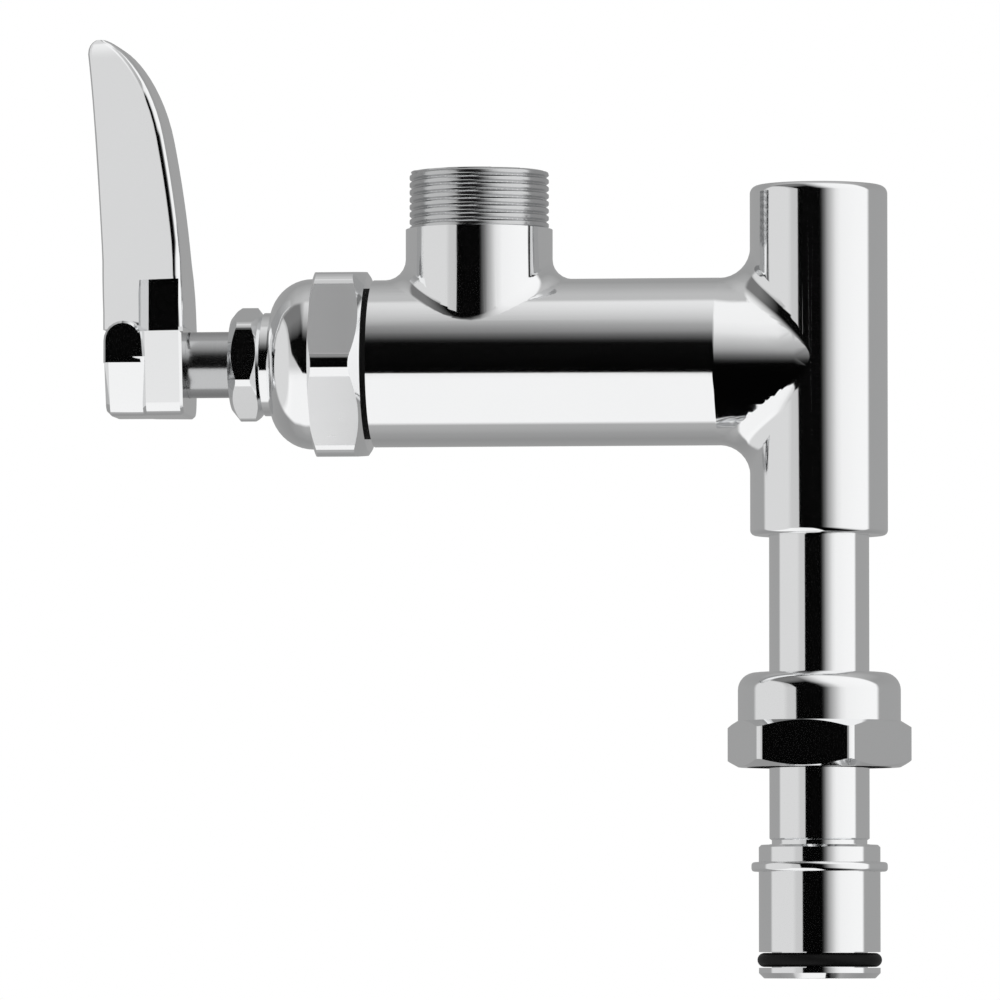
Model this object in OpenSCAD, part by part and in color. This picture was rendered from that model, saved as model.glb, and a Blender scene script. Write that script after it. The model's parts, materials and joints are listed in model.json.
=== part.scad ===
// Auxiliary faucet for a pre-rinse riser, less spout. Millimetres, +Z up.
// Origin: on the riser axis, at the underside of the spigot's retaining ring.
// The valve axis runs along X, with the handle at -X, and the user stands at -Y.

/* [Tee] */
// Outer radius of the upright tee
tee_r = 11.8; // [10.8:0.1:14]
// Height of the tee's lower face above the retaining ring
tee_bottom_z = 57.6; // [50:0.2:80]
// Length of the tee
tee_len = 60.1; // [56:0.1:90]
// Rounding of the tee's upper edge
tee_top_round = 1.4; // [0.4:0.1:2]
// Rounding of the tee's lower edge
tee_bottom_round = 0.9; // [0.3:0.1:1.5]
// Radius of the riser's pipe thread at the tee's top
riser_bore_r = 8; // [7:0.1:9]
// Depth of the riser's pipe thread
riser_bore_depth = 14; // [10:0.5:18]

/* [Barrel] */
// Outer radius of the valve barrel
barrel_r = 14.4; // [13:0.1:17]
// Height of the valve axis above the tee's lower face
valve_rise = 30; // [26:0.2:36]
// Distance from the riser axis to the barrel's open end
barrel_end = 76.7; // [74:0.1:100]
// Distance from the riser axis to the place where the barrel starts to taper
taper_x = 17; // [15.5:0.1:20]
// Rounding of the edge where the taper starts
taper_round = 2; // [0.5:0.5:4]
// Radius of the cast fillet between barrel and tee
tee_fillet = 5.3; // [4:0.1:7]
// Radius of the valve chamber
chamber_r = 10.2; // [9.4:0.1:10.6]
// Distance from the riser axis to the seat wall
seat_wall_x = 46; // [40:0.5:48]
// Radius of the waterway through seat wall and tee
waterway_r = 5.2; // [4.6:0.1:5.6]

/* [Spout outlet] */
// Distance from the riser axis to the outlet axis
outlet_x = 58.6; // [57:0.1:61]
// Radius of the outlet boss below the thread
outlet_boss_r = 12.65; // [12.2:0.05:13.4]
// Major radius of the outlet thread
outlet_thread_r = 12; // [11.4:0.05:12.1]
// Height of the boss's step above the valve axis
outlet_step_rise = 23; // [20:0.2:30]
// Length of the outlet thread
outlet_thread_len = 10; // [7:0.5:14]
// Radius of the spout's socket in the outlet
outlet_bore_r = 8.7; // [7.5:0.1:9.5]
// Depth of the spout's socket in the outlet
outlet_bore_depth = 19; // [14:0.5:20.5]
// Radius of the waterway from the valve chamber up to the socket
outlet_way_r = 6.5; // [5:0.1:7]
// Radius of the cast fillet between outlet and barrel
outlet_fillet = 3.6; // [2.5:0.1:4.2]

/* [Bonnet] */
// Bonnet hexagon, across flats
bonnet_af = 31.7; // [30:0.1:36]
// Width of the bonnet hexagon
bonnet_hex_len = 8.9; // [7:0.1:13]
// Rounding of the bonnet hexagon's corners
bonnet_corner_round = 4; // [2:0.5:5]
// Turn of the bonnet's flats about the valve axis
bonnet_turn = 4; // [0:1:29]
// Radius of the bonnet's dome
dome_r = 14.7; // [14:0.1:15.4]
// Depth of the bonnet's dome
dome_len = 8.1; // [7.3:0.1:10]
// Radius of the dome's rounded front
dome_round = 7.2; // [5:0.1:7.2]
// Radius of the raised ring on the dome's front
bonnet_ring_r = 8.9; // [8.4:0.1:9.4]
// Thickness of the raised ring on the dome's front
bonnet_ring_len = 1.1; // [0.6:0.1:2]
// Length of the bonnet's thread in the body
bonnet_thread_len = 7; // [5:0.5:8]
// Radius of the bonnet's thread in the body
bonnet_thread_r = 11.1; // [10.8:0.05:11.6]
// Thickness of the bonnet gasket
gasket_len = 0.9; // [0.3:0.1:1.5]

/* [Packing] */
// Packing nut, across flats
packing_nut_af = 17.9; // [17.4:0.1:20]
// Length of the packing nut
packing_nut_len = 5.6; // [5.2:0.1:9]
// Rounding of the packing nut's corners
packing_corner_round = 2; // [0.5:0.5:3]
// Turn of the packing nut's flats about the valve axis
packing_nut_turn = 50; // [0:1:59]
// Wall between the packing nut's flats and its thread
packing_nut_wall = 1.35; // [1.2:0.05:1.6]
// Thickness of the packing nut's front wall
packing_wall = 1.2; // [0.8:0.1:2]
// Thickness of the packing between spindle and bonnet
packing_thick = 2.2; // [1.8:0.1:2.6]

/* [Spindle] */
// Radius of the shank between handle and packing nut
shank_r = 5.7; // [5.2:0.1:6.2]
// Length of the shank that shows
shank_len = 7.3; // [4:0.1:12]
// Width of the spindle's square
square_w = 7.8; // [6.5:0.1:8]
// Thickness of the spindle's collar
collar_len = 3; // [2:0.1:4]
// Radius of the spindle's drive thread
drive_r = 6; // [5:0.1:6.4]
// Length of the spindle's drive thread
drive_len = 18; // [14:0.5:20]

/* [Plunger] */
// Outer radius of the plunger's sleeve
plunger_r = 8.6; // [8:0.1:8.8]
// Length of drive thread that the plunger's sleeve covers
plunger_cover = 12; // [8:0.5:14]
// Lift of the plunger over the handle's turn
lift = 1.6; // [1:0.1:2.4]
// Radius of the plunger's washer cup
cup_r = 8.2; // [7.8:0.1:8.8]
// Radius of the seat washer
seat_washer_r = 7; // [6.4:0.1:7.2]
// Thickness of the seat washer
seat_washer_len = 2; // [1.5:0.1:3]
// Radius of the seat's orifice
orifice_r = 4.4; // [3.6:0.1:4.8]
// Height of the seat's raised lip
seat_lip = 1; // [0.6:0.1:1.6]

/* [Handle] */
// Radius of the handle's hub
hub_r = 9; // [8.6:0.1:11]
// Length of the handle's hub
hub_len = 13.7; // [12.5:0.1:17]
// Height of the lever's tip above the valve axis
lever_rise = 56; // [45:0.2:75]
// Half the width of the lever's inner face
lever_half_w = 7.6; // [6:0.1:9]
// Half the width of the lever's outer crest at the hub
crest_half_w = 1.4; // [1.2:0.1:3]
// Rounding of the lever's edges
lever_round = 1.2; // [0.5:0.1:1.3]
// Height of the straight part of the lever's inner edge
lever_straight = 39.4; // [25:0.2:50]
// Radius of the index button
button_r = 5.2; // [4.8:0.1:5.8]

/* [Inlet] */
// Outer radius of the nipple, a 3/8 inch pipe
nipple_r = 8.57; // [8.3:0.01:8.8]
// Inner radius of the nipple
nipple_bore_r = 6.26; // [5.5:0.01:6.6]
// Length of nipple screwed into the tee
nipple_grip = 13; // [9:0.5:16]
// Outer radius of the inlet sleeve
sleeve_r = 10.4; // [10:0.05:11]
// Height of the sleeve above the retaining ring's underside
sleeve_top = 4.6; // [3.5:0.1:8]
// Length of nipple pushed into the sleeve
sleeve_grip = 12.6; // [10:0.1:14]
// Length of the spigot below the retaining ring
spigot_len = 18.2; // [15:0.1:26]
// Outer radius of the retaining ring
ring_r = 11.66; // [11.3:0.02:12]
// Thickness of the retaining ring
ring_len = 1.7; // [1:0.1:2.2]
// Height of the spigot O-ring's centre above the spigot's end
o_ring_rise = 3.15; // [2.8:0.05:6]
// Section diameter of the spigot O-ring
o_ring_d = 2.4; // [1.8:0.1:2.8]

/* [Swivel nut] */
// Swivel nut, across flats
nut_af = 28.2; // [27.6:0.1:32]
// Height of the nut's hexagon
nut_hex_len = 7.9; // [6:0.1:12]
// Rounding of the nut's corners
nut_corner_round = 1.8; // [0.6:0.1:3]
// Height of the nut's round collar
nut_collar_len = 8.3; // [6:0.1:12]
// Rounding of the collar's upper edge
nut_collar_round = 3; // [1:0.1:3.5]
// Thickness of the nut's end wall
nut_wall = 3; // [2:0.1:4]
// Radius of the nut's inner thread
nut_thread_r = 12.4; // [12.1:0.05:12.6]
// Step from the hexagon's flats in to the collar
nut_collar_step = 0.15; // [0.05:0.05:0.5]
// Height of the nut above the retaining ring's underside at rest
nut_rest_z = 17.9; // [8:0.1:26]
// Turn of the nut's flats about the riser axis
nut_turn = -6.6; // [-30:0.2:30]

/* [Clearances] */
// Radial gap of a turning or sliding fit
run_gap = 0.05; // [0.02:0.01:0.1]
// Radial gap of a screwed or pushed joint
joint_gap = 0.05; // [0.02:0.01:0.1]
// Gap between the closed seat washer and the seat
seat_gap = 0.05; // [0.02:0.01:0.2]
// Radial gap of the loose nut on the nipple
loose_gap = 0.35; // [0.25:0.05:0.6]
// End gap between faces that turn or slide past each other
end_gap = 0.3; // [0.2:0.05:0.5]

/* [Hidden] */
$fn = 96;
eps = 0.01;

chrome = [0.86, 0.87, 0.88];
brass = [0.80, 0.66, 0.36];
black_rubber = [0.05, 0.05, 0.05];
fibre = [0.55, 0.50, 0.42];
white_plastic = [0.92, 0.92, 0.90];

tee_top_z = tee_bottom_z + tee_len;
valve_z = tee_bottom_z + valve_rise;
outlet_step_z = valve_z + outlet_step_rise;
outlet_top_z = outlet_step_z + outlet_thread_len;
outlet_chamfer = 0.6;

// Stations along the valve axis, from the body towards the handle
hex_right = -barrel_end - gasket_len;
hex_left = hex_right - bonnet_hex_len;
bonnet_end = -barrel_end + bonnet_thread_len;
dome_front = hex_left - dome_len;
ring_front = dome_front - bonnet_ring_len;
nut_front = ring_front - packing_nut_len;
neck_front = nut_front + packing_wall + end_gap / 3;
neck_r = packing_nut_af / 2 - packing_nut_wall;
hub_right = nut_front - end_gap - shank_len;
hub_left = hub_right - hub_len;
square_end = hub_left + 4.6;
screw_r = 2.4;
screw_head_r = 3.8;
screw_head_len = 1.6;
screw_slot_w = 1;
screw_slot_depth = 0.8;
button_seat = hub_left + 2.9;
button_wall = 0.8;
shank_seat = 0.8;

// Inside of the bonnet
bonnet_bore_r = plunger_r + run_gap;
collar_r = bonnet_bore_r - 0.1;
stem_o_ring_d = 1.6;
stem_o_ring_c = bonnet_bore_r - run_gap / 2 - stem_o_ring_d / 2;
collar_rise = 5.6;
collar_left = dome_front + collar_rise;
collar_right = collar_left + collar_len;
o_ring_x = (collar_left + collar_right) / 2;
thrust_len = 1;
gasket_inset = 1.4;
key_w = 3;
key_r = bonnet_bore_r + 1;
neck_wall = 1.4;
packing_r = neck_r - neck_wall;
stem_r = packing_r - packing_thick;
packing_right = dome_front + 0.6;
gland_len = 1.3;

// Seat and plunger
seat_flange = 1.4;
lip_left = -seat_wall_x - seat_flange - seat_lip;
seat_thread_r = waterway_r + 1.8;
seat_depth = 6;
seat_rim = 1.3;
washer_right = lip_left - seat_gap;
washer_left = washer_right - seat_washer_len;
cup_left = washer_left - 2.5;
cup_short = 0.6;
washer_screw_r = 1.9;
washer_screw_len = 7;
screw_cap_r = 3.2;
screw_cap_len = 1.3;
washer_slot_w = 0.8;
washer_slot_depth = 0.6;
drive_end = collar_right + drive_len;
plunger_left = drive_end - plunger_cover;
plunger_floor = drive_end + lift + 0.4;
plunger_wall = 2.5;
plunger_neck_r = 5.2;
plunger_key_len = 9;

// Inlet sleeve, and the groove that shows above it
nipple_nick = 0.4;
nipple_nick_len = 1;
nipple_top = tee_bottom_z + nipple_grip;
sleeve_floor = sleeve_top - sleeve_grip;
o_ring_proud = 0.25;
groove_r = sleeve_r + o_ring_proud - o_ring_d;
o_ring_z = -spigot_len + o_ring_rise;
o_ring_side = 0.15;
ring_groove_r = sleeve_r - 1;
ring_round = 0.5;
ring_split = 2.4;
spigot_chamfer = 0.9;
sleeve_chamfer = 0.4;

// Turns children drawn about Z so that they lie about the valve axis, with their height along X
module about_valve() {
    translate([0, 0, valve_z]) rotate([0, 90, 0]) children();
}

// A plain disc or rod about the valve axis from x = a to x = b
module rod(a, b, r) {
    about_valve() translate([0, 0, a]) cylinder(h = b - a, r = r);
}

// A hexagonal bar with rounded corners, flats across Y
module rounded_hex(af, corner, h, n = 5) {
    d = (af / 2 - corner) / cos(30);
    linear_extrude(h) polygon([for (i = [0:5]) for (j = [0:n])
        let (t = 60 * i - 30 + 60 * j / n)
        [d * cos(60 * i) + corner * cos(t), d * sin(60 * i) + corner * sin(t)]]);
}

// Outline that chamfers a hexagon's corners: a and b are its ends, and each end has
// the chamfer's start outside the flat and its rise for each millimetre outwards
module hex_trim(flat, a, b, start_a, rise_a, start_b, rise_b) {
    reach = flat * 0.35;
    polygon([[0, a], [flat + start_a, a], [flat + start_a + reach, a + reach * rise_a],
             [flat + start_b + reach, b - reach * rise_b], [flat + start_b, b], [0, b]]);
}

// Points of an arc about [cr, cx], from angle a to angle b
function arc(cr, cx, r, a, b, n = 8) =
    [for (i = [0:n]) let (t = a + (b - a) * i / n) [cr + r * cos(t), cx + r * sin(t)]];

// A cast fillet, swept as the arc that a rolling ball leaves between two surfaces. The arc's ends
// sink a little way into both surfaces, so that the solids meet without a gap
blend_sink = 0.012;
function unit(v) = v / norm(v);
function ball_arc(c, to_a, to_b, f, sink, n) =
    let (w = acos(max(-1, min(1, to_a * to_b))), r = f + sink)
    concat([for (i = [0:n]) c + r * (sin(w * (1 - i / n)) * to_a + sin(w * i / n) * to_b) / sin(w)]
           , [c + (to_a + to_b) / (1 + to_a * to_b) * (f + 1.2)]);

module ring_solid(sections) {
    m = len(sections);
    k = len(sections[0]);
    points = [for (s = sections) for (p = s) p];
    faces = [for (i = [0:m - 1]) for (j = [0:k - 1])
        let (a = i * k + j, b = i * k + (j + 1) % k,
             c = ((i + 1) % m) * k + (j + 1) % k, d = ((i + 1) % m) * k + j)
        each [[a, b, c], [a, c, d]]];
    polyhedron(points = points, faces = faces, convexity = 6);
}

// The barrel tapers towards the tee, and its front ends just inside the tee's surface
taper_end_r = tee_r - 0.1;
taper = atan2(barrel_r - taper_end_r, taper_x);

// A ball that rolls along the barrel: the lean of its touching point and its centre's distance from the axis
function ball_lean(x) = min(taper, asin(max(0, min(1, (x + taper_x) / tee_fillet))));
function ball_rho(x) = x < -taper_x + tee_fillet * sin(taper)
    ? barrel_r + tee_fillet * cos(ball_lean(x))
    : barrel_r + tee_fillet / cos(taper) - (x + taper_x) * tan(taper);

// The angle round the tee at which the ball also touches the tee, level with the barrel's axis
function side_gap(a) = let (q = tee_r + tee_fillet) ball_rho(-q * cos(a)) - q * sin(a);
function side_angle(lo, hi, n) = n == 0 ? lo
    : let (m = (lo + hi) / 2) side_gap(m) > 0 ? side_angle(m, hi, n - 1) : side_angle(lo, m, n - 1);
tee_side = side_angle(20, 90, 30);

function tee_section(t) =
    let (q = tee_r + tee_fillet,
         a = tee_side * sin(t),
         x = -q * cos(a),
         y = q * sin(a),
         z = sqrt(max(0, pow(ball_rho(x), 2) - y * y)) * (cos(t) < 0 ? -1 : 1),
         c = [x, y, z],
         rho = norm([y, z]),
         lean = ball_lean(x),
         to_barrel = [-sin(lean), -cos(lean) * y / rho, -cos(lean) * z / rho])
    ball_arc(c, unit([0, 0, z] - c), to_barrel, tee_fillet, blend_sink, 8);

function outlet_section(t) =
    let (q = outlet_boss_r + outlet_fillet,
         x = q * cos(t),
         y = q * sin(t),
         c = [x, y, sqrt(pow(barrel_r + outlet_fillet, 2) - y * y)])
    ball_arc(c, unit([0, 0, c[2]] - c), unit([x, 0, 0] - c), outlet_fillet, blend_sink, 6);

module tee_blend() {
    translate([0, 0, valve_z]) ring_solid([for (i = [0:59]) tee_section(6 * i)]);
}

module outlet_blend() {
    translate([-outlet_x, 0, valve_z]) ring_solid([for (i = [0:59]) outlet_section(-6 * i)]);
}

module body_outside() {
    translate([0, 0, tee_bottom_z]) rotate_extrude()
        polygon(concat([[0, 0]],
                       arc(tee_r - tee_bottom_round, tee_bottom_round, tee_bottom_round, -90, 0),
                       arc(tee_r - tee_top_round, tee_len - tee_top_round, tee_top_round, 0, 90),
                       [[0, tee_len]]));
    about_valve() rotate_extrude()
        polygon(concat([[0, -barrel_end], [barrel_r, -barrel_end]],
                       arc(barrel_r - taper_round, -taper_x - taper_round * tan(taper / 2),
                           taper_round, 0, taper, 3),
                       [[taper_end_r, 0], [0, 0]]));
    tee_blend();
    translate([-outlet_x, 0, valve_z]) {
        cylinder(h = outlet_step_rise, r = outlet_boss_r);
        cylinder(h = outlet_step_rise + outlet_thread_len - outlet_chamfer, r = outlet_thread_r);
        translate([0, 0, outlet_step_rise + outlet_thread_len - outlet_chamfer])
            cylinder(h = outlet_chamfer, r1 = outlet_thread_r, r2 = outlet_thread_r - outlet_chamfer);
    }
    outlet_blend();
}

module body() {
    color(chrome) difference() {
        body_outside();
        translate([0, 0, tee_bottom_z - eps]) cylinder(h = nipple_grip + 1 + eps, r = nipple_r + joint_gap);
        translate([0, 0, tee_bottom_z]) cylinder(h = tee_len - 1, r = nipple_bore_r);
        translate([0, 0, tee_top_z - riser_bore_depth])
            cylinder(h = riser_bore_depth + eps, r = riser_bore_r);
        rod(-barrel_end - eps, -barrel_end + bonnet_thread_len + 1, bonnet_thread_r + joint_gap);
        rod(-barrel_end, -seat_wall_x, chamber_r);
        rod(-seat_wall_x - eps, -seat_wall_x + seat_depth, seat_thread_r + joint_gap);
        rod(-seat_wall_x, 0, waterway_r);
        translate([-outlet_x, 0, valve_z]) cylinder(h = outlet_top_z - valve_z, r = outlet_way_r);
        translate([-outlet_x, 0, outlet_top_z - outlet_bore_depth])
            cylinder(h = outlet_bore_depth + eps, r = outlet_bore_r);
    }
}

module seat_insert() {
    color(brass) about_valve() difference() {
        union() {
            translate([0, 0, lip_left]) cylinder(h = seat_lip + eps, r = orifice_r + seat_rim);
            translate([0, 0, lip_left + seat_lip]) cylinder(h = seat_flange, r = seat_thread_r + seat_rim);
            translate([0, 0, -seat_wall_x]) cylinder(h = seat_depth, r = seat_thread_r);
        }
        translate([0, 0, lip_left - eps]) cylinder(h = seat_lip + seat_flange + seat_depth + 1, r = orifice_r);
    }
}

module bonnet() {
    color(chrome) difference() {
        union() {
            about_valve() intersection() {
                translate([0, 0, hex_left]) rotate([0, 0, 30 + bonnet_turn])
                    rounded_hex(bonnet_af, bonnet_corner_round, bonnet_hex_len);
                rotate_extrude() hex_trim(bonnet_af / 2, hex_left, hex_right, 0.4, 0.55, -0.6, 0.7);
            }
            about_valve() rotate_extrude()
                polygon(concat([[0, hex_left + 1], [0, dome_front]],
                               arc(dome_r - dome_round, dome_front + dome_round, dome_round, -90, 0, 12),
                               [[dome_r, hex_left + 1]]));
            rod(ring_front, dome_front + 1, bonnet_ring_r);
            rod(neck_front, dome_front + 1, neck_r);
            rod(hex_right - 1, bonnet_end, bonnet_thread_r);
        }
        rod(collar_left - thrust_len - run_gap, bonnet_end + eps, bonnet_bore_r);
        rod(neck_front - eps, packing_right, packing_r);
        rod(dome_front - 1, collar_left, stem_r + run_gap);
        key_slots(run_gap, collar_right, bonnet_end + eps);
    }
}

// The plunger's two keys, or the bonnet's slots for them, from x = a to x = b
module key_slots(gap, a, b) {
    translate([a, 0, valve_z])
        for (side = [0, 180]) rotate([side, 0, 0])
            translate([0, -key_w / 2 - gap, plunger_r - 1])
                cube([b - a, key_w + 2 * gap, key_r - plunger_r + 1 + gap]);
}

module bonnet_gasket() {
    color(fibre) difference() {
        rod(hex_right, -barrel_end, barrel_r - gasket_inset);
        rod(hex_right - eps, -barrel_end + eps, bonnet_thread_r + joint_gap);
    }
}

module packing_nut() {
    color(chrome) about_valve() difference() {
        intersection() {
            translate([0, 0, nut_front]) rotate([0, 0, packing_nut_turn])
                rounded_hex(packing_nut_af, packing_corner_round, packing_nut_len);
            rotate_extrude() hex_trim(packing_nut_af / 2, nut_front, ring_front, -0.9, 0.8, -0.8, 0.8);
        }
        translate([0, 0, nut_front - eps]) cylinder(h = packing_nut_len + 1, r = stem_r + run_gap * 2);
        translate([0, 0, nut_front + packing_wall]) cylinder(h = packing_nut_len, r = neck_r + joint_gap);
    }
}

module packing_gland() {
    color(brass) difference() {
        rod(nut_front + packing_wall, nut_front + packing_wall + gland_len, packing_r - joint_gap);
        rod(nut_front, nut_front + packing_wall + gland_len + eps, stem_r + run_gap);
    }
}

module stem_packing() {
    color(black_rubber) difference() {
        rod(nut_front + packing_wall + gland_len, packing_right, packing_r - joint_gap);
        rod(nut_front, packing_right + eps, stem_r + run_gap);
    }
}

module spindle() {
    color(brass) difference() {
        union() {
            translate([square_end, -square_w / 2, valve_z - square_w / 2])
                cube([hub_right - square_end, square_w, square_w]);
            rod(hub_right - shank_seat, nut_front - end_gap, shank_r);
            rod(nut_front - end_gap - 1, collar_left + 1, stem_r);
            rod(collar_left, collar_right, collar_r);
            rod(collar_right - 1, drive_end, drive_r);
        }
        rod(square_end - eps, hub_right, screw_r + joint_gap);
        about_valve() translate([0, 0, o_ring_x]) rotate_extrude()
            translate([stem_o_ring_c, 0]) circle(d = stem_o_ring_d + 0.1, $fn = 32);
    }
}

module spindle_o_ring() {
    color(black_rubber) about_valve() translate([0, 0, o_ring_x]) rotate_extrude()
        translate([stem_o_ring_c, 0]) circle(d = stem_o_ring_d, $fn = 32);
}

module thrust_washer() {
    color(white_plastic) difference() {
        rod(collar_left - thrust_len, collar_left - run_gap, bonnet_bore_r - joint_gap);
        rod(collar_left - thrust_len - eps, collar_left, stem_r + run_gap);
    }
}

module plunger() {
    color(brass) difference() {
        union() {
            rod(plunger_left, plunger_floor + plunger_wall, plunger_r);
            key_slots(0, plunger_left, plunger_left + plunger_key_len);
            rod(plunger_floor, cup_left + 1, plunger_neck_r);
            rod(cup_left, washer_right - cup_short, cup_r);
        }
        rod(plunger_left - eps, plunger_floor, drive_r + run_gap);
        rod(washer_left, washer_right, seat_washer_r + joint_gap);
        rod(washer_left - washer_screw_len - 1, washer_left + eps, washer_screw_r + joint_gap);
    }
}

module seat_washer() {
    color(black_rubber) difference() {
        rod(washer_left, washer_right, seat_washer_r);
        rod(washer_left - eps, washer_right + eps, washer_screw_r + joint_gap);
    }
}

module washer_screw() {
    color(brass) difference() {
        union() {
            rod(washer_left - washer_screw_len, washer_right + eps, washer_screw_r);
            rod(washer_right, washer_right + screw_cap_len, screw_cap_r);
        }
        translate([washer_right + screw_cap_len - washer_slot_depth, -washer_slot_w / 2, valve_z - 4])
            cube([1, washer_slot_w, 8]);
    }
}

// The lever's side view. Its outer crest leans outwards as it rises, and its inner face bows towards it.
// Places along the valve axis at height h above it
lever_foot = shank_r + 0.4;
lever_outer_root = hub_left - 1.1;
lever_root_gap = 0.3;
lever_lean = 2.6;
lever_lean_power = 1.2;
lever_bow_r = 200;
lever_tip_out = 2.6;
lever_tip_in = lever_outer_root - lever_lean + lever_tip_out - 0.1 - hub_right - lever_root_gap
    + pow(lever_rise, 2) / (2 * lever_bow_r);
function tip_curve(h, start) =
    let (s = max(0, h - start) / (lever_rise - start)) 1 - sqrt(max(0, 1 - s * s));
function lever_outer(h) =
    lever_outer_root - lever_lean * pow(max(0, h - hub_r) / (lever_rise - hub_r), lever_lean_power)
    + lever_tip_out * tip_curve(h, lever_rise - lever_tip_out);
function lever_inner(h) =
    hub_right + lever_root_gap - h * h / (2 * lever_bow_r) + lever_tip_in * tip_curve(h, lever_straight);

// Half the widths of the lever's inner face and outer crest at height h. The face flares at its root
lever_slant = 0.42;
root_top = lever_foot + 12.4;
root_flare = 1.5;
root_flare_len = 5;
function lever_face(h) =
    lever_half_w + root_flare * min(1, max(0, (root_top - h) / root_flare_len))
    - lever_round * tip_curve(h, lever_rise - lever_round);
function lever_crest(h) =
    let (w = lever_face(h))
    min(w - 0.05, max(crest_half_w, w - (lever_inner(h) - lever_outer(h)) * lever_slant));

// A lever's section at height h, with rounded corners between its crest, its slanted sides and its face
function corner(cx, cy, r, a, b, h) =
    [for (i = [0:5]) let (t = a + (b - a) * i / 5) [cx + r * cos(t), cy + r * sin(t), h]];
function lever_section(h) =
    let (x0 = lever_outer(h), x1 = max(lever_inner(h), x0 + 1.2),
         w0 = lever_crest(h), w1 = lever_face(h),
         r = min(lever_round, (x1 - x0) / 2.8, w0 * 0.9, w1 / 2.8),
         turn = atan2(w1 - w0, x1 - x0),
         a = w0 - r * tan(45 - turn / 2),
         b = w1 - r * tan(45 + turn / 2))
    concat(corner(x0 + r, -a, r, -180, -90 - turn, h),
           corner(x1 - r, -b, r, -90 - turn, 0, h),
           corner(x1 - r, b, r, 0, 90 + turn, h),
           corner(x0 + r, a, r, 90 + turn, 180, h));

// The blade starts above the shank, so that it overhangs it freely
module lever_blade() {
    n = 26;
    heights = [for (i = [0:n]) lever_foot + (lever_rise - 0.1 - lever_foot) * sin(90 * i / n)];
    sections = [for (h = heights) lever_section(h)];
    k = len(sections[0]);
    points = [for (s = sections) for (p = s) p];
    sides = [for (i = [0:n - 1]) for (j = [0:k - 1])
        let (a = i * k + j, b = i * k + (j + 1) % k, c = (i + 1) * k + (j + 1) % k, d = (i + 1) * k + j)
        each [[a, c, b], [a, d, c]]];
    bottom = [for (j = [0:k - 1]) j];
    top = [for (j = [k - 1:-1:0]) n * k + j];
    translate([0, 0, valve_z])
        polyhedron(points = points, faces = concat([bottom], sides, [top]), convexity = 4);
}

module lever_handle() {
    color(chrome) difference() {
        union() {
            difference() {
                union() {
                    lever_blade();
                    hub_root();
                }
                for (side = [-1, 1]) hub_pocket(side);
            }
            rod(hub_left, square_end, button_r + button_wall);
            hub_end();
            hub_block();
            hub_cheeks();
        }
        translate([square_end - 0.2, -square_w / 2 - joint_gap, valve_z - square_w / 2 - joint_gap])
            cube([hub_right - square_end + 1, square_w + 2 * joint_gap, square_w + 2 * joint_gap]);
        rod(hub_right - shank_seat, hub_right + 4, shank_r + joint_gap);
        rod(hub_left, square_end, screw_r + 0.1);
        rod(hub_left - 3, button_seat, button_r + joint_gap);
    }
}

// Fills the lever's root between the hub and the blade's foot
module hub_root() {
    crest = lever_crest(lever_foot) + 0.4;
    face = lever_face(lever_foot) - 0.4;
    hull() for (h = [0, lever_foot])
        translate([0, 0, valve_z + h]) linear_extrude(0.02)
            polygon([[hub_left + 0.3, -crest], [hub_right, -face], [hub_right, face], [hub_left + 0.3, crest]]);
}

// A section across the hub, half wide at its top. Its sides narrow downwards to rounded corners, and it is
// smaller all round by trim
module hub_section(x, top, half, draft, trim) {
    r = hub_round - trim;
    y = half - draft - hub_round;
    z = hub_round - hub_r;
    tilt = atan2(draft, top - z);
    translate([x, 0, valve_z]) rotate([90, 0, 90]) linear_extrude(0.02)
        polygon(concat([[trim - half, top - trim]],
                       arc(-y, z, r, 180 + tilt, 270, 6),
                       arc(y, z, r, 270, 360 - tilt, 6),
                       [[half - trim, top - trim]]));
}

// The hub's lower half, left of the block
hub_round = 2.6;
hub_half_w = 9;
hub_draft = 2;
cheek_foot = 1;
module hub_end() {
    hull() {
        hub_section(hub_left, cheek_foot, hub_half_w, hub_draft, 0.8);
        hub_section(hub_left + 0.8, cheek_foot, hub_half_w, hub_draft, 0);
        hub_section(block_left + 0.5, cheek_foot, hub_half_w + 0.1, hub_draft, 0);
    }
}

// The block that holds the shank's end. Its sides narrow downwards and towards the handle's end, and a
// bevel joins them to the hub
block_left = hub_left + 7.2;
block_top = 5.35;
block_half_w = 9.9;
block_flare = 1.05;
block_draft = 2;
block_bevel = 1;
module hub_block() {
    wide = block_half_w + block_flare;
    hull() {
        hub_section(block_left - block_bevel, block_top, block_half_w - 1.2 * block_bevel, block_draft, 0);
        hub_section(block_left, block_top, block_half_w, block_draft, 0);
        hub_section(hub_right - 0.5, block_top, wide, block_draft, 0);
        hub_section(hub_right - 0.02, block_top, wide, block_draft, 0.4);
    }
}

// Flat cheeks with an arched top, on the user's side and the far side
cheek_half_w = 3;
cheek_top = 6.8;
module hub_cheeks() {
    hull() for (side = [-1, 1]) for (s = [[hub_half_w, 0], [hub_half_w - 0.5, 0.4], [lever_half_w / 2, 0.8]])
        translate([hub_left + cheek_half_w + 0.3, side * s[0] + 0.01, valve_z]) rotate([90, 0, 0])
            linear_extrude(0.02) polygon(concat([[-cheek_half_w - s[1], 0], [cheek_half_w + s[1], 0]],
                [for (t = [0:15:180]) let (r = cheek_half_w + s[1])
                    [r * cos(t), cheek_top - cheek_half_w + r * sin(t)]]));
}

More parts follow.
